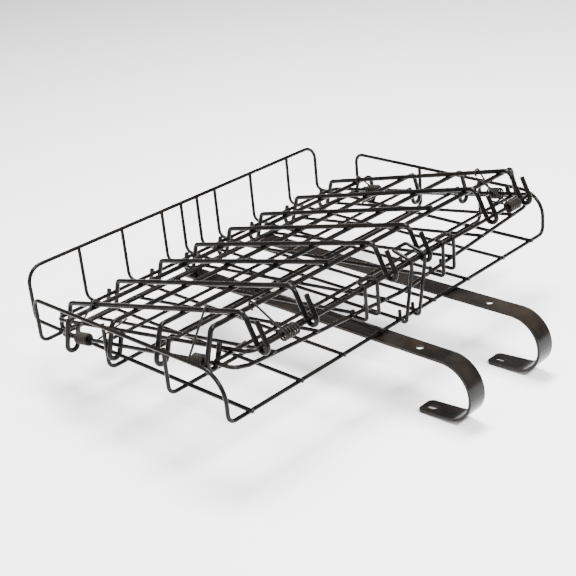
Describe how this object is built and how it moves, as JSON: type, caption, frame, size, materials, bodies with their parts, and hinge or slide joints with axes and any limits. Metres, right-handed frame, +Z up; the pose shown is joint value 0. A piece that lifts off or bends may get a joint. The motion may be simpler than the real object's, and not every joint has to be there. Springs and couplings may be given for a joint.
{
  "type": "sprung wire cargo basket",
  "caption": "Fenced wire tray with a sloping sprung rod deck, a wire latch bail and two flat hook straps that hang it from a rail.",
  "frame": {"origin": "midway between the two strap holes, at mid-thickness of the straps", "axes": "+X along the tray's length, +Y from the open front edge with the hooks to the back fence, +Z up"},
  "size_m": [0.7946, 0.6837, 0.25],
  "materials": {
    "rod_coat": "gloss",
    "strap_coat": "gloss",
    "spring_wire": "gloss"
  },
  "bodies": {
    "tray": {"tray_back_loop": "rod_coat", "tray_end_loop": "rod_coat", "lower_ring": "rod_coat", "upper_ring": "rod_coat", "tray_long_wire_1": "rod_coat", "tray_long_wire_2": "rod_coat", "tray_cross_wire_1": "rod_coat", "tray_cross_wire_2": "rod_coat", "tray_cross_wire_3": "rod_coat", "tray_cross_wire_4": "rod_coat", "tray_cross_wire_5": "rod_coat", "tray_cross_wire_6": "rod_coat", "tray_cross_wire_7": "rod_coat", "tray_cross_wire_8": "rod_coat", "strap_near": "strap_coat", "strap_far": "strap_coat", "ring_rib_1": "rod_coat", "ring_rib_2": "rod_coat", "ring_rib_3": "rod_coat", "ring_rib_4": "rod_coat", "ring_rib_5": "rod_coat", "ring_rib_6": "rod_coat", "ring_rib_7": "rod_coat", "ring_rib_8": "rod_coat", "ring_bar_1": "rod_coat", "ring_bar_2": "rod_coat", "ring_bar_3": "rod_coat", "ring_bar_4": "rod_coat", "link_near": "rod_coat", "link_far": "rod_coat", "front_spring_1": "spring_wire", "front_spring_2": "spring_wire", "near_end_spring_1": "spring_wire", "near_end_spring_2": "spring_wire", "far_end_spring_1": "spring_wire", "far_end_spring_2": "spring_wire"},
    "deck": {"deck_rail_1": "rod_coat", "deck_rail_2": "rod_coat", "deck_rail_3": "rod_coat", "deck_rail_4": "rod_coat", "deck_rail_5": "rod_coat", "deck_rail_6": "rod_coat", "deck_rail_7": "rod_coat", "deck_rail_8": "rod_coat", "deck_bearer_1": "rod_coat", "deck_bearer_2": "rod_coat", "deck_bearer_3": "rod_coat", "deck_bearer_4": "rod_coat"},
    "bail": {"latch_bail": "rod_coat"}
  },
  "joints": [
    {"name": "deck_press", "type": "slide", "parent": "tray", "child": "deck", "axis": [0, 0, -1], "range_m": [0, 0.01], "stiffness_N_per_m": 5000, "springref_m": -0.01, "deforming": ["front_spring_1", "front_spring_2", "near_end_spring_1", "near_end_spring_2", "far_end_spring_1", "far_end_spring_2"]},
    {"name": "bail_hinge", "type": "hinge", "parent": "tray", "child": "bail", "pos_m": [-0.018, 0.077, 0.0054], "axis": [1, 0, 0], "range_deg": [0, 120]}
  ]
}
